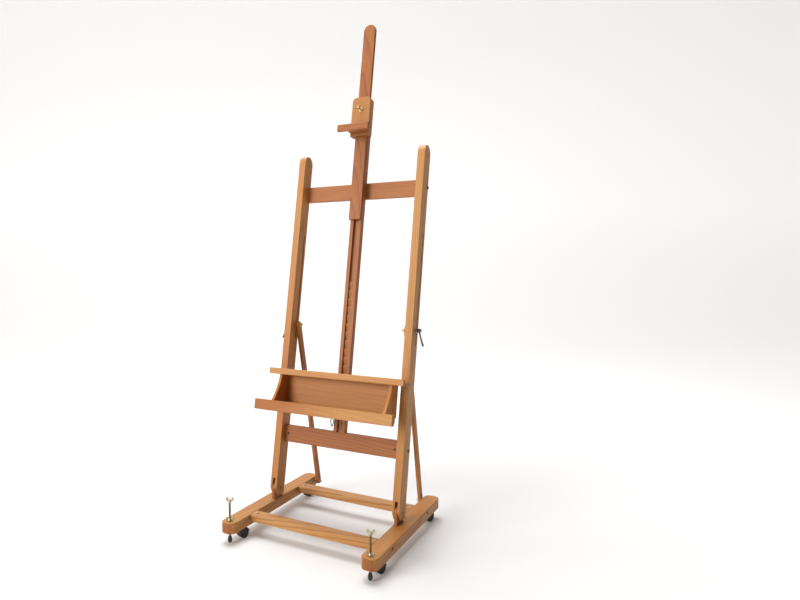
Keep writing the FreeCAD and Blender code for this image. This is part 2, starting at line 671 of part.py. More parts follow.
def lever_nut():
    """Clamping nut with a hanging lever that flares away from the post."""
    inner = POST_X[1] + 2.2 + GAP
    hub = x_rod(8.0, (inner, inner + 15), SLOT_Y, PIN_Z)
    hub = hub.makeFillet(1.2, [e for e in hub.Edges if e.BoundBox.XMin > inner + 14])
    side = [(inner + 5, PIN_Z + 3), (inner + 12, PIN_Z + 3), (inner + 15, PIN_Z - 14),
            (inner + 30, PIN_Z - 58), (inner + 25, PIN_Z - 62), (inner + 9, PIN_Z - 20)]
    wire = Part.makePolygon([V(x, SLOT_Y - 12, z) for x, z in side + side[:1]])
    slab = Part.Face(wire).extrude(V(0, 24, 0))
    outline = prism_x([(SLOT_Y - 5, PIN_Z + 4), (SLOT_Y - 4, PIN_Z - 18), (SLOT_Y - 6.5, PIN_Z - 54),
                       (SLOT_Y - 3, PIN_Z - 62), (SLOT_Y + 3, PIN_Z - 62), (SLOT_Y + 6.5, PIN_Z - 54),
                       (SLOT_Y + 4, PIN_Z - 18), (SLOT_Y + 5, PIN_Z + 4)], (inner, inner + 40))
    lever = slab.common(outline)
    nut = join([hub, lever])
    return nut.cut(x_rod(BOLT_R + RUNNING, (inner - 1, inner + 20), SLOT_Y, PIN_Z))


def struts():
    keep_pair("strut", strut(), on_strut)
    keep_pair("strut_top_nut", strut_top_nut(), on_strut)
    keep_pair("slot_bolt", slot_bolt(), on_frame)
    keep_pair("lever_nut", lever_nut(), on_frame)


# ---------------------------------------------------------------- extension bar and top clamp
def extension_bar():
    """Round-topped bar with a dovetail tongue behind and a fine groove in each side."""
    x = BAR_HALF
    plate = box((-x, x), BAR_Y, (BAR_Z[0], BAR_Z[1] - x))
    crown = y_rod(x, 0, BAR_Y, BAR_Z[1] - x)
    timber = eased_ends(join([plate, crown]), "Y", EASE)
    slope = (GROOVE_FLOOR - GROOVE_MOUTH) / GROOVE_DEPTH
    tongue_back = BAR_Y[1] + TONGUE_DEEP
    near = GROOVE_MOUTH - 2 * slope - GAP
    far = GROOVE_MOUTH + slope * (tongue_back - MAST_Y[0]) - GAP
    tongue = prism_z([(-near, BAR_Y[1] - 2), (near, BAR_Y[1] - 2), (far, tongue_back), (-far, tongue_back)],
                     (BAR_Z[0] + 4, BAR_Z[1] - 90))
    groove = box((x - 3, x + 1), (BAR_Y[0] + 6, BAR_Y[0] + 10), (BAR_Z[0] - 1, BAR_Z[1] - 40))
    return join([timber, tongue]).cut(both(groove))


def clamp_block():
    """Block that slides on the bar, its ribs running in the bar's side grooves."""
    outer = box((-CLAMP_HALF, CLAMP_HALF), CLAMP_Y, CLAMP_Z)
    shoulders = [e for e in outer.Edges if e.BoundBox.YLength > 10 and e.BoundBox.ZMin > CLAMP_Z[1] - 1]
    outer = eased_ends(outer.makeFillet(18.0, shoulders), "Y", EASE)
    x = BAR_HALF + GAP
    channel = box((-x, x), (BAR_Y[0] - GAP, CLAMP_Y[1] + 1), (CLAMP_Z[0] - 1, CLAMP_Z[1] + 1))
    rib = box((BAR_HALF - 2.6, x + 1), (BAR_Y[0] + 6.3, BAR_Y[0] + 9.7), CLAMP_Z)
    hole = y_rod(6.0, 0, (CLAMP_Y[0] - 1, BAR_Y[0]), CLAMP_SCREW_Z)
    return join([outer.cut(channel)] + both(rib)).cut(hole)


def clamp_insert():
    sleeve = y_rod(5.9, 0, (CLAMP_Y[0], BAR_Y[0] - 1), CLAMP_SCREW_Z)
    flange = y_rod(8.5, 0, (CLAMP_Y[0] - 1.4, CLAMP_Y[0]), CLAMP_SCREW_Z)
    return join([sleeve, flange]).cut(y_rod(BOLT_R + RUNNING, 0, (CLAMP_Y[0] - 3, BAR_Y[0]), CLAMP_SCREW_Z))


def clamp_screw():
    shank = y_rod(BOLT_R, 0, (CLAMP_Y[0] - 26, BAR_Y[0] - GAP), CLAMP_SCREW_Z)
    head = wing(*SMALL_WING)
    head.rotate(V(0, 0, 0), X_AXIS, 90)
    head.rotate(V(0, 0, 0), Y_AXIS, 20)
    head.translate(V(0, CLAMP_Y[0] - 23, CLAMP_SCREW_Z))
    return join([shank, head])


def clamp_lip():
    """A plate standing out from the block, with a wider lip across its end to hook over a canvas."""
    low, high = CLAMP_Z[0], CLAMP_Z[0] + CLAMP_LIP_TALL
    back = CLAMP_LIP_FRONT + CLAMP_LIP_THICK
    plate = board((-CLAMP_HALF, CLAMP_HALF), (back - 8, CLAMP_Y[0]), (high - 16, high), FINE_EASE)
    lip = board((-CLAMP_LIP_HALF, CLAMP_LIP_HALF), (CLAMP_LIP_FRONT, back), (low, high))
    return join([plate, lip])


def upper_parts():
    keep("extension_bar", [extension_bar()], on_frame)
    keep("clamp_block", [clamp_block()], on_frame)
    keep("clamp_lip", [clamp_lip()], on_frame)
    keep("clamp_insert", [clamp_insert()], on_frame)
    keep("clamp_screw", [clamp_screw()], on_frame)


# ---------------------------------------------------------------- tray and its carriage
def bracket():
    """Side bracket with a hollow front edge."""
    x = BRACKET_X[0]
    top, low, back = SHELF_Z[0], TRAY_Z[0] + 18, -36.0
    edges = [Part.makeLine(V(x, back, low), V(x, back, top)),
             Part.makeLine(V(x, back, top), V(x, -98, top)),
             Part.Arc(V(x, -98, top), V(x, -120, 417), V(x, -168, low)).toShape(),
             Part.makeLine(V(x, -168, low), V(x, back, low))]
    plate = Part.Face(Part.Wire(edges)).extrude(V(BRACKET_X[1] - x, 0, 0))
    return eased_ends(plate, "X", FINE_EASE)


def canvas_ledge():
    """L-shaped ledge: a flat shelf with a raised lip along its front."""
    whole = board((-TRAY_HALF, TRAY_HALF), SHELF_Y, SHELF_Z)
    return whole.cut(box((-TRAY_HALF - 1, TRAY_HALF + 1), (SHELF_Y[0] + 12, SHELF_Y[1] + 1),
                         (SHELF_Z[0] + 11, SHELF_Z[1] + 1)))


def carriage_front():
    """Block between the back board and the mast, slotted for the pawl."""
    block = board((-CARRIAGE_HALF, CARRIAGE_HALF), (BACK_BOARD_Y[1], MAST_Y[0] - GAP), CARRIAGE_Z, FINE_EASE)
    slot = box((-7.5, 7.5), (BACK_BOARD_Y[1] + 3, MAST_Y[0] + 1), (CARRIAGE_Z[0] - 1, CARRIAGE_Z[1] + 1))
    return block.cut([slot, x_rod(3.0, (-22, 22), *PAWL_PIN)])


def pawl():
    """Flat steel pawl: boss on the pin, catch towards the rack and a tail with an eye."""
    y, z = PAWL_PIN
    boss = x_rod(6.0, (-5, 5), y, z)
    arm = prism_x([(y - 4, z), (y + 4, z), (y + 5, z - 24), (PAWL_CATCH, z - 36), (PAWL_CATCH, z - 42),
                   (y + 3, z - 44), (y + 3, z - 74), (y - 4, z - 74), (y - 4, z - 30)],
                  (-PAWL_HALF, PAWL_HALF))
    eye = x_rod(2.0, (-6, 6), y, z - EYE_DROP)
    hole = x_rod(3.0 + RUNNING, (-6, 6), y, z)
    return join([boss, arm]).cut([hole, eye])


def release_wire():
    """Wire from the pawl's eye down to a long finger loop hanging below the tray."""
    y, z = PAWL_PIN[0], PAWL_PIN[1] - EYE_DROP
    r, near, far, bend_z = 1.1, -22.0, -36.0, 297.0
    points = [V(-5.9, y, z), V(-5.9, y, z - 16), V(near, y, 330.0), V(near, y, bend_z)]
    solids = [x_rod(2.0, (-5.9, 5.9), y, z)]
    for start, end in zip(points[:-1], points[1:]):
        solids += [rod(r, start, end), Part.makeSphere(r, end)]
    middle_x, bend_r = (near + far) / 2, (near - far) / 2
    ring = Part.makeTorus(bend_r, r, V(middle_x, y, bend_z), Y_AXIS)
    solids.append(ring.common(box((far - 5, near + 5), (y - 5, y + 5), (bend_z - 20, bend_z))))
    solids += [rod(r, V(far, y, bend_z), V(far, y, 322.0)), Part.makeSphere(r, V(far, y, 322.0)),
               rod(r, V(far, y, 322.0), V(near, y, 330.0))]
    return join(solids)


def tray():
    keep("canvas_ledge", [canvas_ledge()], on_frame)
    keep("tray_back_board", [board((-BRACKET_X[0], BRACKET_X[0]), BACK_BOARD_Y, (TRAY_Z[0], SHELF_Z[0]),
                                   FINE_EASE)], on_frame)
    keep("tray_brackets", both(bracket()), on_frame)
    keep("tray_bottom", [board((-BRACKET_X[1], BRACKET_X[1]), (TRAY_FRONT + 24, BACK_BOARD_Y[0]),
                               (TRAY_Z[0], TRAY_Z[0] + 18), FINE_EASE)], on_frame)
    keep("tray_lip", [board((-TRAY_HALF, TRAY_HALF), (TRAY_FRONT, TRAY_FRONT + 24), TRAY_Z)], on_frame)
    keep("carriage_front", [carriage_front()], on_frame)
    cheek = board((MAST_HALF + GAP, CARRIAGE_HALF), (MAST_Y[0] - GAP, MAST_Y[1] + GAP), CARRIAGE_Z, FINE_EASE)
    keep("carriage_cheeks", both(cheek), on_frame)
    keep("carriage_keeper", [board((-CARRIAGE_HALF, CARRIAGE_HALF), (MAST_Y[1] + GAP, MAST_Y[1] + 9.3),
                                   CARRIAGE_Z, FINE_EASE)], on_frame)
    keep("pawl_pin", [x_rod(3.0, (-21, 21), *PAWL_PIN)], on_frame)
    keep("pawl", [pawl()], on_frame)
    keep("release_wire", [release_wire()], on_frame)


# ---------------------------------------------------------------- build
base()
castors()
h_frame()
struts()
upper_parts()
tray()

os.makedirs("parts", exist_ok=True)
for name, shape in nodes.items():
    shape.exportStep("parts/" + name + ".step")
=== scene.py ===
import json
import math

import bpy
from mathutils import Matrix, Vector


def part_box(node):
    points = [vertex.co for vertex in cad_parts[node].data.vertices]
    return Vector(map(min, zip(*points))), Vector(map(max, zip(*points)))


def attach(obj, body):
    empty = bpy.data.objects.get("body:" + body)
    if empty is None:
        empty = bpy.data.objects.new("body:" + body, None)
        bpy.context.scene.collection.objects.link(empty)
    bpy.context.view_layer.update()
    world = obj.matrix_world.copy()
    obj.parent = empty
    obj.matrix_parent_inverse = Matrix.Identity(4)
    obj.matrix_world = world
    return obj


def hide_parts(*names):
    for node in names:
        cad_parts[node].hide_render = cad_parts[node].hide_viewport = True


# Convertible studio easel in oiled beech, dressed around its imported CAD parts.
# Everything is in metres, in the part's own frame: X right, Y back, Z up, floor at z = 0.

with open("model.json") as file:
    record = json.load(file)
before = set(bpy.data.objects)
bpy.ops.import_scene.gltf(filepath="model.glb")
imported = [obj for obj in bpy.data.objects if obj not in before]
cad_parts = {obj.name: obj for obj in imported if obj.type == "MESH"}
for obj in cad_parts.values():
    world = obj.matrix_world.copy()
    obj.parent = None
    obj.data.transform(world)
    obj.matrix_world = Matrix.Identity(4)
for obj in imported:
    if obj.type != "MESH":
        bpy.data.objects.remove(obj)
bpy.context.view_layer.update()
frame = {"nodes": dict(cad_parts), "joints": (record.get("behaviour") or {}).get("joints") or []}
nodes = frame["nodes"]
joints = {joint["name"]: joint for joint in frame["joints"]}

UP_FRAME = Vector(joints["bar_slide"]["axis"])                   # up along the leaning posts
BACK_FRAME = Vector(joints["thumb_screw_lower_turn"]["axis"])    # square to them, to the back
ACROSS = Vector((1, 0, 0))
BACKWARDS = Vector((0, 1, 0))
UPWARDS = Vector((0, 0, 1))
SIDES = ("left", "right")
ENDS = ("front", "rear")
MM = 0.001

# ---------------------------------------------------------------- camera
CAMERA_PLACE = (1.1423, -2.2021, 1.0613)
CAMERA_TURN = 29.8
CAMERA_DIP = 3.15
LENS = 28.0
SENSOR = 36.0
SHIFT = (0.1125, 0.004)

camera_data = bpy.data.cameras.new("camera")
camera_data.lens = LENS
camera_data.sensor_width = SENSOR
camera_data.shift_x, camera_data.shift_y = SHIFT
camera = bpy.data.objects.new("camera", camera_data)
camera.location = CAMERA_PLACE
camera.rotation_euler = (math.radians(90 - CAMERA_DIP), 0, math.radians(CAMERA_TURN))
bpy.context.scene.collection.objects.link(camera)
bpy.context.scene.camera = camera


# ---------------------------------------------------------------- material building blocks
class Shader:
    """A small helper that adds nodes to one material and links them."""

    def __init__(self, name):
        self.material = bpy.data.materials.new(name)
        self.material.use_nodes = True
        self.tree = self.material.node_tree
        self.tree.nodes.clear()
        self.surface = self.add("ShaderNodeBsdfPrincipled")
        output = self.add("ShaderNodeOutputMaterial")
        self.link(self.surface.outputs["BSDF"], output.inputs["Surface"])
        self.place = self.add("ShaderNodeTexCoord")

    def add(self, kind, **settings):
        node = self.tree.nodes.new(kind)
        for key, value in settings.items():
            setattr(node, key, value)
        return node

    def link(self, source, target):
        self.tree.links.new(source, target)

    def feed(self, socket, value):
        """Links a socket to another one, or sets its constant."""
        if isinstance(value, bpy.types.NodeSocket):
            self.link(value, socket)
        else:
            socket.default_value = value

    def along(self, axis, stretch, shift=(0, 0, 0)):
        """Object coordinates turned so that axis becomes Z, then scaled."""
        turned = self.add("ShaderNodeMapping")
        turned.inputs["Rotation"].default_value = axis.rotation_difference(UPWARDS).to_euler()
        turned.inputs["Location"].default_value = shift
        self.link(self.place.outputs["Object"], turned.inputs["Vector"])
        scaled = self.add("ShaderNodeVectorMath", operation="MULTIPLY")
        scaled.inputs[1].default_value = stretch
        self.link(turned.outputs["Vector"], scaled.inputs[0])
        return scaled.outputs["Vector"]

    def noise(self, vector, scale=1.0, detail=2.0, roughness=0.5, output="Fac"):
        node = self.add("ShaderNodeTexNoise")
        self.link(vector, node.inputs["Vector"])
        node.inputs["Scale"].default_value = scale
        node.inputs["Detail"].default_value = detail
        node.inputs["Roughness"].default_value = roughness
        return node.outputs[output]

    def math(self, operation, a, b=0.0, c=0.0):
        node = self.add("ShaderNodeMath", operation=operation)
        for socket, value in zip(node.inputs, (a, b, c)):
            self.feed(socket, value)
        return node.outputs["Value"]

    def ramp(self, factor, stops, mode="LINEAR"):
        """A ramp of greys or colours; stops are (position, value or colour)."""
        node = self.add("ShaderNodeValToRGB")
        node.color_ramp.interpolation = mode
        elements = node.color_ramp.elements
        while len(elements) < len(stops):
            elements.new(0.5)
        for element, (position, value) in zip(elements, stops):
            element.position = position
            element.color = (*value, 1) if hasattr(value, "__len__") else (value, value, value, 1)
        self.link(factor, node.inputs["Fac"])
        return node.outputs["Color"]

    def mix(self, factor, a, b, blend="MIX"):
        node = self.add("ShaderNodeMix", data_type="RGBA", blend_type=blend)
        self.feed(node.inputs["Factor"], factor)
        for socket, value in ((node.inputs["A"], a), (node.inputs["B"], b)):
            self.feed(socket, (*value, 1) if isinstance(value, tuple) else value)
        return node.outputs["Result"]

    def bump(self, height, distance, strength=1.0, onto=None):
        node = self.add("ShaderNodeBump")
        node.inputs["Distance"].default_value = distance
        node.inputs["Strength"].default_value = strength
        self.link(height, node.inputs["Height"])
        if onto is not None:
            self.link(onto, node.inputs["Normal"])
        return node.outputs["Normal"]

    def set(self, **values):
        for name, value in values.items():
            self.feed(self.surface.inputs[name.replace("_", " ")], value)


# ---------------------------------------------------------------- oiled beech
# base colours, from the palest board to the darkest fleck
CREAM = (0.570, 0.325, 0.130)
PALE = (0.512, 0.267, 0.088)
STRAW = (0.488, 0.249, 0.072)
GOLD = (0.480, 0.210, 0.052)
HONEY = (0.416, 0.157, 0.036)
OCHRE = (0.385, 0.180, 0.052)
AMBER = (0.328, 0.107, 0.023)
RUST = (0.212, 0.060, 0.016)
FLECK = (0.135, 0.039, 0.010)

RING_WIDTH = 8.5 * MM
RING_DRAWN_OUT = 0.055       # how much the rings' pattern is drawn out along a board
RING_BEND = 30 * MM          # how far the rings bend, times a board's own wander
FLECK_LENGTH = 4.0 * MM

# sizes of the noises across and along the grain, per metre
WARP = (9.0, 1.6)
DRIFT = (7.0, 1.1)
STREAK = (85.0, 1.7)
FIBRE = (420.0, 9.0)
SPECK = (1500.0, 0.7 / FLECK_LENGTH)

PLAIN_WANDER = 0.9
PLAIN_FIGURE = 0.62


def beech(name, grain, light, mid, deep, seed, pith, wander, figure, tilt):
    """Beech with growth rings cut through by the board, fine fibres and small dark ray flecks.

    grain is the board's long direction. pith is how far the tree's middle lies from it, wander how
    much the rings bend, figure how strongly they show, tilt how much darker the board's far end is.
    """
    s = Shader(name)
    shift = (pith[0] + 0.013 * seed, pith[1] + 0.007 * seed, 0.37 * seed)

    def grained(size):
        return s.along(grain, (size[0], size[0], size[1]), shift)

    # growth rings: distance from the tree's middle, bent slowly along the board
    rings_at = grained((1.0, RING_DRAWN_OUT))
    warp = s.noise(grained(WARP), detail=3.0, output="Color")
    bent = s.add("ShaderNodeVectorMath", operation="MULTIPLY_ADD")
    s.link(warp, bent.inputs[0])
    bent.inputs[1].default_value = (RING_BEND * wander, RING_BEND * wander, 0.0)
    s.link(rings_at, bent.inputs[2])
    distance = s.add("ShaderNodeVectorMath", operation="LENGTH")
    s.link(bent.outputs["Vector"], distance.inputs[0])
    count = s.math("DIVIDE", distance.outputs["Value"], RING_WIDTH)
    ring = s.ramp(s.math("FRACT", count), [(0.0, 0.15), (0.55, 0.35), (0.88, 1.0), (1.0, 0.1)], "EASE")
    # slow drift of hue over the board, and from one end of it to the other
    drift = s.noise(grained(DRIFT), detail=2.0)
    length = s.add("ShaderNodeSeparateXYZ")
    s.link(s.along(grain, (1.0, 1.0, 1.0)), length.inputs["Vector"])
    drift = s.math("MULTIPLY_ADD", length.outputs["Z"], tilt, drift)
    drift = s.ramp(drift, [(0.34, 0.0), (0.66, 1.0)])
    # fibres and flecks
    fibre = s.noise(grained(FIBRE), detail=4.0, roughness=0.65)
    streak = s.noise(grained(STREAK), detail=3.0, roughness=0.6)
    fleck = s.noise(grained(SPECK), detail=1.0)
    fleck = s.ramp(fleck, [(0.62, 0.0), (0.72, 1.0)])

    base = s.mix(drift, light, mid)
    base = s.mix(s.math("MULTIPLY", ring, figure), base, deep)
    base = s.mix(s.ramp(streak, [(0.40, 0.0), (0.75, 0.42)]), base, deep)
    base = s.mix(s.ramp(fibre, [(0.30, 0.14), (0.60, 0.0)]), base, STRAW)
    base = s.mix(s.math("MULTIPLY", fleck, 0.42), base, FLECK)
    # end grain drinks more oil and is darker
    facing = s.add("ShaderNodeVectorMath", operation="DOT_PRODUCT")
    s.link(s.place.outputs["Normal"], facing.inputs[0])
    facing.inputs[1].default_value = grain
    ends = s.math("ABSOLUTE", facing.outputs["Value"])
    ends = s.ramp(ends, [(0.60, 0.0), (0.95, 0.72)])
    base = s.mix(ends, base, RUST)
    s.set(Base_Color=base)
    s.set(Roughness=s.math("MULTIPLY_ADD", fibre, 0.22, 0.36))
    s.set(Specular_IOR_Level=0.28)
    grain_bump = s.bump(fibre, 0.00012, 0.6)
    s.set(Normal=s.bump(fleck, 0.00008, 0.5, grain_bump))
    return s.material


STRUT_GRAIN = {}
for side in SIDES:
    low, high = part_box("strut_" + side)
    STRUT_GRAIN[side] = Vector((0, low.y - high.y, high.z - low.z)).normalized()

# each board's grain, light, middle and deep colour, seed and pith
WOODS = {
    "post_left": (UP_FRAME, STRAW, HONEY, AMBER, 1, (0.050, 0.020)),
    "post_right": (UP_FRAME, STRAW, GOLD, AMBER, 2, (0.045, -0.060)),
    "mast": (UP_FRAME, AMBER, AMBER, RUST, 3, (0.020, 0.060)),
    "extension_bar": (UP_FRAME, AMBER, AMBER, RUST, 4, (-0.052, 0.035)),
    "clamp_block": (UP_FRAME, OCHRE, OCHRE, AMBER, 5, (0.090, 0.030)),
    "clamp_lip": (ACROSS, AMBER, AMBER, RUST, 6, (0.050, 0.050)),
    "upper_crossbar": (ACROSS, HONEY, AMBER, RUST, 7, (0.030, 0.070)),
    "lower_crossbar": (ACROSS, HONEY, AMBER, RUST, 8, (0.040, 0.060)),
    "strut_left": (STRUT_GRAIN["left"], HONEY, AMBER, RUST, 9, (0.050, 0.040)),
    "strut_right": (STRUT_GRAIN["right"], GOLD, HONEY, AMBER, 10, (0.050, 0.040)),
    "runner_left": (BACKWARDS, PALE, GOLD, AMBER, 11, (0.060, 0.050)),
    "runner_right": (BACKWARDS, PALE, GOLD, AMBER, 12, (0.040, 0.070)),
    "front_rail": (ACROSS, CREAM, PALE, AMBER, 13, (0.060, 0.040)),
    "rear_rail": (ACROSS, CREAM, PALE, AMBER, 14, (0.060, 0.050)),
    "hinge_tongues": (UPWARDS, HONEY, AMBER, RUST, 15, (0.060, 0.050)),
    "canvas_ledge": (ACROSS, PALE, GOLD, AMBER, 16, (0.060, 0.040)),
    "tray_lip": (ACROSS, STRAW, AMBER, AMBER, 17, (0.050, 0.040)),
    "tray_back_board": (ACROSS, GOLD, HONEY, AMBER, 18, (0.030, 0.050)),
    "tray_bottom": (ACROSS, HONEY, HONEY, AMBER, 19, (0.050, 0.050)),
    "tray_brackets": (UP_FRAME, GOLD, HONEY, AMBER, 20, (0.050, 0.050)),
    "carriage_front": (UP_FRAME, HONEY, AMBER, RUST, 21, (0.050, 0.050)),
    "carriage_cheeks": (UP_FRAME, HONEY, AMBER, RUST, 22, (0.050, 0.050)),
    "carriage_keeper": (UP_FRAME, HONEY, AMBER, RUST, 23, (0.050, 0.050)),
    # painted shade: the ratchet rack is given darker colours for the shade it lies in below the tray
    "ratchet_rack": (UP_FRAME, HONEY, AMBER, RUST, 24, (0.050, 0.050)),
    "pivot_plugs": (ACROSS, AMBER, RUST, FLECK, 25, (0.050, 0.050)),
}


# ---------------------------------------------------------------- metals, plastic and rubber
def metal(name, colour, dull, roughness, spread, scratches=0.25):
    """Turned or plated metal with uneven shine, handling marks and a faint tarnish."""
    s = Shader(name)
    cloud = s.noise(s.place.outputs["Object"], scale=90.0, detail=4.0, roughness=0.6)
    fine = s.noise(s.along(Vector((1, 0.3, 0.5)).normalized(), (900.0, 900.0, 60.0)), detail=3.0)
    tarnish = s.ramp(cloud, [(0.42, 0.0), (0.70, 1.0)])
    s.set(Base_Color=s.mix(s.math("MULTIPLY", tarnish, 0.55), colour, dull))
    s.set(Metallic=1.0)
    rough = s.math("MULTIPLY_ADD", cloud, spread, roughness - spread / 2)
    s.set(Roughness=s.math("MULTIPLY_ADD", fine, 0.10, rough))
    s.set(Normal=s.bump(fine, 0.00004, scratches))
    return s.material


def moulded(name, colour, worn, roughness, grain_scale, grain_depth):
    """Moulded plastic or rubber with a fine pebbled skin and scuffs."""
    s = Shader(name)
    pebble = s.noise(s.place.outputs["Object"], scale=grain_scale, detail=2.0)
    scuff = s.noise(s.place.outputs["Object"], scale=55.0, detail=5.0, roughness=0.7)
    marks = s.ramp(scuff, [(0.52, 0.0), (0.72, 1.0)])
    s.set(Base_Color=s.mix(s.math("MULTIPLY", marks, 0.6), colour, worn))
    s.set(Roughness=s.math("MULTIPLY_ADD", scuff, 0.30, roughness - 0.15))
    s.set(Normal=s.bump(pebble, grain_depth, 0.6))
    return s.material


ZINC = metal("zinc_plate", (0.46, 0.45, 0.42), (0.27, 0.25, 0.21), 0.36, 0.20)
GOLDEN_ZINC = metal("golden_zinc", (0.21, 0.165, 0.085), (0.10, 0.070, 0.035), 0.42, 0.22)
NICKEL = metal("pale_nickel", (0.56, 0.51, 0.36), (0.30, 0.26, 0.15), 0.32, 0.18)
STEEL = metal("dull_steel", (0.44, 0.42, 0.39), (0.24, 0.20, 0.15), 0.42, 0.22)
BRASS = metal("pale_brass", (0.56, 0.43, 0.20), (0.30, 0.21, 0.09), 0.34, 0.20)
LEVER = metal("lever_coat", (0.100, 0.090, 0.085), (0.200, 0.170, 0.140), 0.42, 0.20)
CASTOR = moulded("castor_plastic", (0.016, 0.016, 0.018), (0.050, 0.048, 0.046), 0.46, 1400.0, 0.00005)
TREAD = moulded("castor_tread", (0.022, 0.022, 0.023), (0.075, 0.070, 0.065), 0.60, 900.0, 0.00006)
RUBBER = moulded("foot_rubber", (0.018, 0.018, 0.018), (0.060, 0.055, 0.050), 0.72, 1100.0, 0.00008)
DARK_WIRE = moulded("blackened_wire", (0.020, 0.018, 0.016), (0.055, 0.048, 0.040), 0.52, 900.0, 0.00003)
# painted shade: near-black steel for the rail and crossbar fasteners, so that the holes they sit in read as
# shaded
HOLE_SHADE_STEEL = metal("hole_shade_steel", (0.115, 0.070, 0.038), (0.050, 0.028, 0.016), 0.44, 0.22)

FITTINGS = {
    "pivot_pins": STEEL, "pawl_pin": STEEL, "pawl": STEEL, "release_wire": STEEL,
    "strut_pivot_bolts": ZINC, "strut_spacers": ZINC, "castor_plates": ZINC,
    # painted shade: the fasteners in the rail and crossbar holes take the near-black steel
    "rail_fasteners": HOLE_SHADE_STEEL, "crossbar_fasteners": HOLE_SHADE_STEEL,
    "levelling_inserts": BRASS, "mast_fittings": BRASS, "clamp_insert": BRASS,
    "thumb_screw_lower": BRASS, "thumb_screw_upper": BRASS, "clamp_screw": BRASS,
}
for side in SIDES:
    FITTINGS["levelling_screw_" + side] = ZINC
    FITTINGS["levelling_foot_" + side] = RUBBER
    FITTINGS["lock_wing_nut_" + side] = BRASS
    FITTINGS["strut_top_nut_" + side] = BRASS
    FITTINGS["slot_bolt_" + side] = ZINC
    FITTINGS["lever_nut_" + side] = LEVER
    for end in ENDS:
        FITTINGS["castor_hood_%s_%s" % (end, side)] = CASTOR
        FITTINGS["castor_wheels_%s_%s" % (end, side)] = TREAD


def dress(node, material):
    obj = nodes[node]
    obj.data.materials.clear()
    obj.data.materials.append(material)


FIGURE = {
    "tray_back_board": 0.30, "tray_bottom": 0.30, "tray_lip": 0.42, "canvas_ledge": 0.45, "front_rail": 0.85,
    "rear_rail": 0.80, "lower_crossbar": 0.95, "upper_crossbar": 0.75, "extension_bar": 0.95,
}
WANDER = {
    "front_rail": 1.6, "rear_rail": 1.5, "lower_crossbar": 1.7, "upper_crossbar": 1.4, "extension_bar": 2.4,
    "tray_lip": 1.3, "canvas_ledge": 1.2, "tray_back_board": 1.6,
}
TILT = {"tray_lip": -0.75, "front_rail": 0.4, "tray_back_board": -0.3, "canvas_ledge": 0.4}

for node, (grain, light, mid, deep, seed, pith) in WOODS.items():
    wander = WANDER.get(node, PLAIN_WANDER)
    figure = FIGURE.get(node, PLAIN_FIGURE)
    tilt = TILT.get(node, 0.0)
    dress(node, beech("beech_" + node, grain, light, mid, deep, seed, pith, wander, figure, tilt))
for node, material in FITTINGS.items():
    dress(node, material)


# ---------------------------------------------------------------- shapes
SHARP_EDGE = math.radians(40)    # edges turning more than this are shaded sharp


def piece(name, parts, material, body, stands_for=()):
    """One object from (vertices, faces) parts, riding on a body."""
    vertices, faces = [], []
    for part_vertices, part_faces in parts:
        start = len(vertices)
        vertices += [tuple(v) for v in part_vertices]
        faces += [tuple(i + start for i in face) for face in part_faces]
    mesh = bpy.data.meshes.new(name)
    mesh.from_pydata(vertices, [], faces)
    mesh.polygons.foreach_set("use_smooth", [True] * len(faces))
    mesh.set_sharp_from_angle(angle=SHARP_EDGE)
    mesh.materials.append(material)
    obj = bpy.data.objects.new(name, mesh)
    bpy.context.scene.collection.objects.link(obj)
    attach(obj, body)
    if stands_for:
        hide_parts(*stands_for)


def moved(part, matrix):
    """The part put in place, with its faces turned round if the matrix mirrors it."""
    vertices, faces = part
    flip = matrix.determinant() < 0
    turned = [tuple(reversed(face)) for face in faces] if flip else faces
    return [matrix @ Vector(v) for v in vertices], turned


def rings(rows):
    """Faces between rows of equal length, with both ends capped."""
    count, size = len(rows), len(rows[0])
    vertices = [v for row in rows for v in row]
    faces = []
    for i in range(count - 1):
        a, b = i * size, (i + 1) * size
        for j in range(size):
            k = (j + 1) % size
            faces.append((a + j, a + k, b + k, b + j))
    faces.append(tuple(range(size - 1, -1, -1)))
    faces.append(tuple((count - 1) * size + j for j in range(size)))
    return vertices, faces


def turned(profile, segments=40):
    """A solid of revolution about Z from (radius, z) points, listed from the bottom up."""
    rows = []
    for radius, z in profile:
        angles = [2 * math.pi * j / segments for j in range(segments)]
        rows.append([(radius * math.cos(a), radius * math.sin(a), z) for a in angles])
    return rings(rows)


def thread(radius, depth, pitch, low, high, segments=20, per_turn=4):
    """A threaded rod: the crest winds round as it climbs, and fades out at both ends."""
    rows = []
    count = int((high - low) / pitch * per_turn)
    for i in range(count + 1):
        z = low + (high - low) * i / count
        fade = min(1.0, (z - low) / pitch + 0.2, (high - z) / pitch + 0.2)
        row = []
        for j in range(segments):
            phase = (z / pitch - j / segments) % 1.0
            r = radius - depth * abs(2 * phase - 1)
            r = r * (0.86 + 0.14 * fade)
            a = 2 * math.pi * j / segments
            row.append((r * math.cos(a), r * math.sin(a), z))
        rows.append(row)
    return rings(rows)


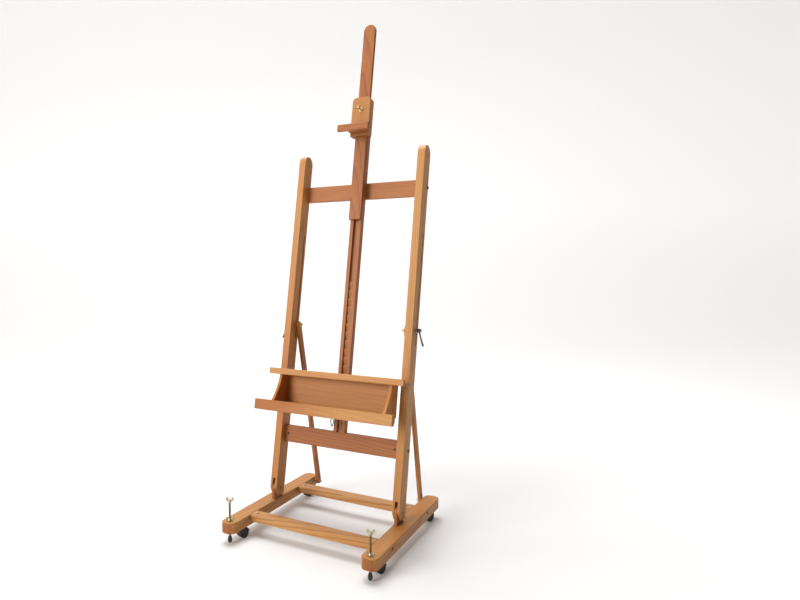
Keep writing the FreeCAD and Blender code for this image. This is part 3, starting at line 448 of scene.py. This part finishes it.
def swept(path, side, widths, thicks, segments=24, power=2.4, cap=6):
    """A cast arm along a path, with domed ends.

    Its section is rounded, and widest towards side. power is 2 for an ellipse, and more for a boxier one.
    """
    rows = []
    count = len(path)
    for i, point in enumerate(path):
        ahead = path[min(i + 1, count - 1)] - path[max(i - 1, 0)]
        ahead.normalize()
        out = side - ahead * side.dot(ahead)
        out.normalize()
        flat = ahead.cross(out)
        stations = [(0.0, 1.0)]
        if i == 0:
            stations = [(-math.cos(a), math.sin(a)) for a in domed(cap)]
        elif i == count - 1:
            stations = [(math.cos(a), math.sin(a)) for a in reversed(domed(cap))]
        for push, shrink in stations:
            centre = point + ahead * push * thicks[i] * 0.8
            row = []
            for j in range(segments):
                a = 2 * math.pi * j / segments
                c, s = math.cos(a), math.sin(a)
                x = math.copysign(abs(c) ** (2 / power), c) * widths[i] * shrink
                y = math.copysign(abs(s) ** (2 / power), s) * thicks[i] * shrink
                row.append(centre + out * x + flat * y)
            rows.append(row)
    return rings(rows)


def domed(count):
    """Angles from just off the pole of a dome to its rim."""
    return [math.pi / 2 * (k + 0.35) / (count + 0.35) for k in range(count + 1)]


def curve_points(controls, count):
    """Points on the Bezier curve of the controls."""
    points = []
    for k in range(count):
        t = k / (count - 1)
        level = [Vector(c) for c in controls]
        while len(level) > 1:
            level = [a.lerp(b, t) for a, b in zip(level[:-1], level[1:])]
        points.append(level[0])
    return points


def wing_head(hub, span, height, thick):
    """A cast wing head standing on z = 0: a waisted hub with two upswept ears.

    hub is the hub's radius, span the width over both ears, thick the ears' thickness.
    """
    half = span / 2
    hub_top = height * 0.55
    waist = [(hub * 0.86, 0), (hub, hub * 0.14), (hub * 0.98, hub_top * 0.35), (hub * 0.80, hub_top * 0.75),
             (hub * 0.70, hub_top * 0.95), (hub * 0.58, hub_top)]
    parts = [turned(waist)]
    stations = 14
    for side in (-1, 1):
        root = (side * hub * 0.35, 0, height * 0.22)
        low = (side * half * 0.62, 0, height * 0.20)
        high = (side * half * 0.78, 0, height * 0.60)
        tip = (side * (half - thick * 1.25), 0, height - thick * 1.3)
        widths, thicks = [], []
        for k in range(stations):
            t = k / (stations - 1)
            neck = math.sin(math.pi * min(1.0, t * 1.25))
            widths.append(thick * (0.60 + 0.16 * math.sin(math.pi * t) - 0.05 * t))
            thicks.append(height * (0.240 - 0.07 * neck + 0.065 * t * t))
        parts.append(swept(curve_points([root, low, high, tip], stations), BACKWARDS, widths, thicks))
    return parts


def standing(place, axis, turn=0.0):
    """The matrix that stands a part drawn about Z on a place, along an axis, turned about it."""
    lift = UPWARDS.rotation_difference(Vector(axis)).to_matrix().to_4x4()
    return Matrix.Translation(Vector(place)) @ lift @ Matrix.Rotation(math.radians(turn), 4, "Z")


THREAD_RADIUS = 4.0 * MM
THREAD_DEPTH = 0.55 * MM
PITCH = 1.25 * MM


# hub radius, span over the ears, height and thickness of each wing head
THUMB_WINGS = (6 * MM, 26 * MM, 14.5 * MM, 3.2 * MM)
LEVELLING_WINGS = (7 * MM, 30 * MM, 19.5 * MM, 4.0 * MM)
LOCK_NUT_WINGS = (8 * MM, 32 * MM, 14.8 * MM, 3.4 * MM)


def wings(size, place):
    """A wing head of one of the sizes above, put in place."""
    return [moved(part, place) for part in wing_head(*size)]


def wing_screw(node, joint, inner, outer, turn, size, head_metal, rod_metal):
    """A wing screw on the joint's axis, its rod from inner to just inside the head, which stands at outer."""
    place = standing(joint["pos_m"], joint["axis"], turn)
    rod = moved(thread(THREAD_RADIUS, THREAD_DEPTH, PITCH, inner, outer + 2 * MM), place)
    head = wings(size, place @ Matrix.Translation((0, 0, outer)))
    piece(node + "_head", head, head_metal, node)
    piece(node + "_rod", [rod], rod_metal, node, stands_for=[node])


def on_frame(x, y, z):
    """A point given in millimetres across, behind and up the leaning frame."""
    hinge = Vector(joints["frame_tilt"]["pos_m"])
    return hinge + (ACROSS * x + BACK_FRAME * y + UP_FRAME * z) * MM


# ---------------------------------------------------------------- wing screws
for name, inner, outer, turn in (("thumb_screw_lower", -21.7 * MM, 18 * MM, 35),
                                 ("thumb_screw_upper", -21.7 * MM, 18 * MM, 62),
                                 ("clamp_screw", -31.3 * MM, 13 * MM, 22)):
    wing_screw(name, joints[name + "_turn"], inner, outer, turn, THUMB_WINGS, BRASS, ZINC)

LEVELLING_TURN = 28          # degrees
LOCK_NUT_TURN = 36
LOCK_NUT_DROP = 3.6 * MM     # its joint to its seat
FOOT_PROFILE = [             # radius and height of the rubber foot, mm
    (4.2, 5.0), (5.0, 5.3), (6.4, 8.0), (7.7, 11.5), (8.4, 15.5), (8.4, 18.5), (7.8, 22.5), (6.7, 26.5),
    (6.2, 29.5), (5.8, 30.8), (4.2, 31.0),
]


def levelling_set(side):
    """One levelling screw, the wing nut that locks it, and its foot."""
    screw = "levelling_screw_" + side
    joint = joints["levelling_screw_turn_" + side]
    wing_screw(screw, joint, -137 * MM, 13 * MM, LEVELLING_TURN, LEVELLING_WINGS, NICKEL, GOLDEN_ZINC)

    seat = standing(joints["lock_nut_turn_" + side]["pos_m"], UPWARDS, LOCK_NUT_TURN)
    nut = wings(LOCK_NUT_WINGS, seat @ Matrix.Translation((0, 0, -LOCK_NUT_DROP)))
    body = "lock_nut_" + side
    piece(body, nut, NICKEL, body, stands_for=["lock_wing_nut_" + side])

    # a bulb of rubber, narrow where it meets the floor and where the screw enters it
    x, y, _ = joint["pos_m"]
    bulb = moved(turned([(r * MM, z * MM) for r, z in FOOT_PROFILE]), Matrix.Translation((x, y, 0)))
    foot = "levelling_foot_" + side
    piece("rubber_foot_" + side, [bulb], RUBBER, foot, stands_for=[foot])


for side in SIDES:
    levelling_set(side)


# ---------------------------------------------------------------- clamping levers
LEVER_HUB = [(7.2, -5.4), (8.0, -4.6), (8.0, 5.5), (7.4, 7.2), (6.2, 9.0), (4.2, 9.4)]
LEVER_BEND = [(2, 0), (7, 13), (11, 34), (23, 60)]      # outwards and down from the bolt, mm
WASHER = [(9.4, -7.6), (10.0, -7.2), (10.0, -6.3), (9.4, -5.9), (5.0, -5.8)]


def lever(side, sign):
    """A cast lever nut with a bent, waisted arm, and the bolt and washer that it pulls tight."""
    joint = joints["lever_turn_" + side]
    spot, outward = Vector(joint["pos_m"]), ACROSS * sign
    place = standing(spot, outward)
    hub = moved(turned([(r * MM, z * MM) for r, z in LEVER_HUB]), place)
    controls = [spot + outward * out * MM - UP_FRAME * down * MM for out, down in LEVER_BEND]
    stations = 26
    widths, thicks = [], []
    for k in range(stations):
        t = k / (stations - 1)
        waist = math.sin(math.pi * min(1.0, t * 1.35))
        thinning = math.sin(math.pi * 0.5 * min(1.0, t * 2.0))
        widths.append((6.6 - 3.0 * waist + 0.6 * t) * MM)
        thicks.append((4.4 - 1.9 * thinning + 0.4 * t * t) * MM)
    arm = swept(curve_points(controls, stations), BACK_FRAME, widths, thicks)
    body = "lever_" + side
    piece(body, [hub, arm], LEVER, body, stands_for=["lever_nut_" + side])

    # the bolt from the strut's side of the slot out through the post, and its washer
    bolt = moved(thread(3.95 * MM, THREAD_DEPTH, PITCH, -41 * MM, 13.4 * MM), place)
    washer = moved(turned([(r * MM, z * MM) for r, z in WASHER]), place)
    body = "slot_bolt_" + side
    piece("slot_stud_" + side, [bolt, washer], ZINC, body, stands_for=[body])


lever("left", -1)
lever("right", 1)


# ---------------------------------------------------------------- castor wheels
WHEEL_PROFILE = [            # radius and distance from the castor's middle, mm
    (3.0, 3.5), (17.6, 3.5), (19.0, 3.9), (19.8, 5.0), (20.0, 6.4), (20.0, 8.2), (19.6, 8.6), (19.6, 9.0),
    (20.0, 9.4), (20.0, 12.2), (19.6, 13.6), (18.6, 14.9), (17.0, 15.5), (15.4, 15.5), (14.6, 14.9),
    (14.0, 13.4), (13.0, 12.9), (8.4, 12.5), (7.4, 13.0), (6.9, 14.4), (6.2, 15.0), (3.4, 15.2), (2.6, 14.8),
]
AXLE_RADIUS = 3.0 * MM
AXLE_HALF = 14.4 * MM


def castor_wheels(label):
    """Two grooved wheels with dished hubs, back to back on one axle."""
    joint = joints["castor_roll_" + label]
    wheel = turned([(r * MM, z * MM) for r, z in WHEEL_PROFILE], 56)
    axle = turned([(AXLE_RADIUS, -AXLE_HALF), (AXLE_RADIUS, AXLE_HALF)], 24)
    parts = [moved(axle, standing(joint["pos_m"], joint["axis"]))]
    for way in (1, -1):
        parts.append(moved(wheel, standing(joint["pos_m"], Vector(joint["axis"]) * way)))
    body = "wheels_" + label
    piece("castor_tyres_" + label, parts, TREAD, body, stands_for=["castor_wheels_" + label])


for side in SIDES:
    for end in ENDS:
        castor_wheels(end + "_" + side)


# ---------------------------------------------------------------- release wire and pawl spring
WIRE_RADIUS = 1.8 * MM
WIRE_DEPTH = -22             # behind the hinge line, so it hangs in front of it, mm
WIRE_ROUTE = [               # across and up the frame, mm
    (-5.9, 372), (-5.9, 358), (-19.0, 343), (-22.5, 330), (-22.5, 305), (-27.5, 288), (-30.5, 288),
    (-35.5, 305), (-35.0, 322), (-31.0, 330), (-22.5, 335),
]


def release_wire():
    """Bent wire from the pawl's eye down to a long pointed loop for a finger."""
    data = bpy.data.curves.new("finger_wire", "CURVE")
    data.dimensions = "3D"
    data.bevel_depth = WIRE_RADIUS
    data.bevel_resolution = 5
    data.resolution_u = 16
    data.use_fill_caps = True
    spline = data.splines.new("NURBS")
    spline.points.add(len(WIRE_ROUTE) - 1)
    for point, (x, z) in zip(spline.points, WIRE_ROUTE):
        point.co = (*on_frame(x, WIRE_DEPTH, z), 1)
    spline.order_u = 3
    spline.use_endpoint_u = True
    data.materials.append(DARK_WIRE)
    obj = bpy.data.objects.new("finger_wire", data)
    bpy.context.scene.collection.objects.link(obj)
    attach(obj, "pawl")
    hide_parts("release_wire")


SPRING_AT = (5.0, -12.6)     # across and behind, mm
SPRING_ENDS = (281.0, 322.0)
SPRING_TURNS = 11
SPRING_RADIUS = 4.2 * MM
SPRING_WIRE = 0.75 * MM
SPRING_STEPS = 14            # points to a turn


def pawl_spring():
    """Small coil spring below the pawl, hooked over at its top end and closed by a ring below."""
    low, high = SPRING_ENDS

    def around(z, k, other):
        a = 2 * math.pi * k / SPRING_STEPS
        return on_frame(*SPRING_AT, z) + (ACROSS * math.cos(a) + other * math.sin(a)) * SPRING_RADIUS

    route = [on_frame(*SPRING_AT, high + 14), on_frame(*SPRING_AT, high + 5)]
    count = SPRING_TURNS * SPRING_STEPS
    route += [around(high + (low - high) * k / count, k, BACK_FRAME) for k in range(count + 1)]
    route += [around(low - 4, k, UP_FRAME) for k in range(1, SPRING_STEPS)]
    rows = []
    for i, point in enumerate(route):
        ahead = (route[min(i + 1, len(route) - 1)] - route[max(i - 1, 0)]).normalized()
        out = ahead.cross(UP_FRAME if abs(ahead.dot(UP_FRAME)) < 0.9 else ACROSS).normalized()
        flat = ahead.cross(out)
        angles = [2 * math.pi * j / 8 for j in range(8)]
        rows.append([point + (out * math.cos(a) + flat * math.sin(a)) * SPRING_WIRE for a in angles])
    piece("pawl_spring", [rings(rows)], NICKEL, "pawl")


release_wire()
pawl_spring()


# ---------------------------------------------------------------- studio
PAPER_GREY = 0.68
PAPER_GLOW = (0.09, 0.39)    # emission near the easel, and how much more far from it


def backdrop():
    """A pale floor that curves up into a wall behind the easel."""
    half, front, back, bend, top = 24.0, -7.0, 5.0, 2.0, 9.0
    steps = 16
    line = [(front, 0.0), (back, 0.0)]
    for k in range(1, steps + 1):
        a = math.pi / 2 * k / steps
        line.append((back + bend * math.sin(a), bend - bend * math.cos(a)))
    line.append((back + bend, top))
    vertices = [(x, y, z) for y, z in line for x in (-half, half)]
    faces = [(2 * k, 2 * k + 1, 2 * k + 3, 2 * k + 2) for k in range(len(line) - 1)]
    mesh = bpy.data.meshes.new("backdrop")
    mesh.from_pydata(vertices, [], faces)
    mesh.polygons.foreach_set("use_smooth", [True] * len(faces))
    obj = bpy.data.objects.new("backdrop", mesh)
    obj.rotation_euler = (0, 0, math.radians(CAMERA_TURN))
    bpy.context.scene.collection.objects.link(obj)
    s = Shader("backdrop_paper")
    s.set(Base_Color=(PAPER_GREY, PAPER_GREY, PAPER_GREY, 1), Roughness=0.9, Specular_IOR_Level=0.1)
    # the paper grows brighter away from the easel, so that only its own shadow shows
    away = s.add("ShaderNodeVectorMath", operation="LENGTH")
    s.link(s.place.outputs["Object"], away.inputs[0])
    reach = s.math("MULTIPLY", away.outputs["Value"], 0.25)
    near, extra = PAPER_GLOW
    glow = s.math("MULTIPLY_ADD", s.ramp(reach, [(0.16, 0.0), (0.80, 1.0)]), extra, near)
    s.set(Emission_Color=(1, 1, 1, 1), Emission_Strength=glow)
    mesh.materials.append(s.material)


def soft_light(name, place, aim, size, power):
    """A rectangular lamp of the size, in metres, that faces the aim."""
    data = bpy.data.lights.new(name, "AREA")
    data.shape = "RECTANGLE"
    data.size, data.size_y = size
    data.energy = power
    obj = bpy.data.objects.new(name, data)
    obj.location = place
    obj.rotation_euler = (Vector(aim) - Vector(place)).to_track_quat("-Z", "Y").to_euler()
    bpy.context.scene.collection.objects.link(obj)


backdrop()
soft_light("key", (-2.9, -6.0, 3.0), (0, 0, 0.9), (3.0, 3.2), 375)
soft_light("top", (-0.6, 0.2, 4.8), (0, 0, 0.6), (3.0, 3.0), 215)


def surround():
    """A dim warm surround, brighter on the key lamp's side and dark on the other."""
    world = bpy.data.worlds.new("studio")
    world.use_nodes = True
    tree = world.node_tree
    background = tree.nodes["Background"]
    background.inputs["Color"].default_value = (1.0, 0.90, 0.80, 1)
    direction = tree.nodes.new("ShaderNodeTexCoord")
    facing = tree.nodes.new("ShaderNodeVectorMath")
    facing.operation = "DOT_PRODUCT"
    facing.inputs[1].default_value = (-0.80, -0.60, 0.0)
    tree.links.new(direction.outputs["Generated"], facing.inputs[0])
    strength = tree.nodes.new("ShaderNodeMapRange")
    for name, value in (("From Min", -0.6), ("From Max", 0.6), ("To Min", 0.05), ("To Max", 0.45)):
        strength.inputs[name].default_value = value
    tree.links.new(facing.outputs["Value"], strength.inputs["Value"])
    tree.links.new(strength.outputs["Result"], background.inputs["Strength"])
    bpy.context.scene.world = world


surround()
bpy.context.scene.view_settings.view_transform = "Standard"
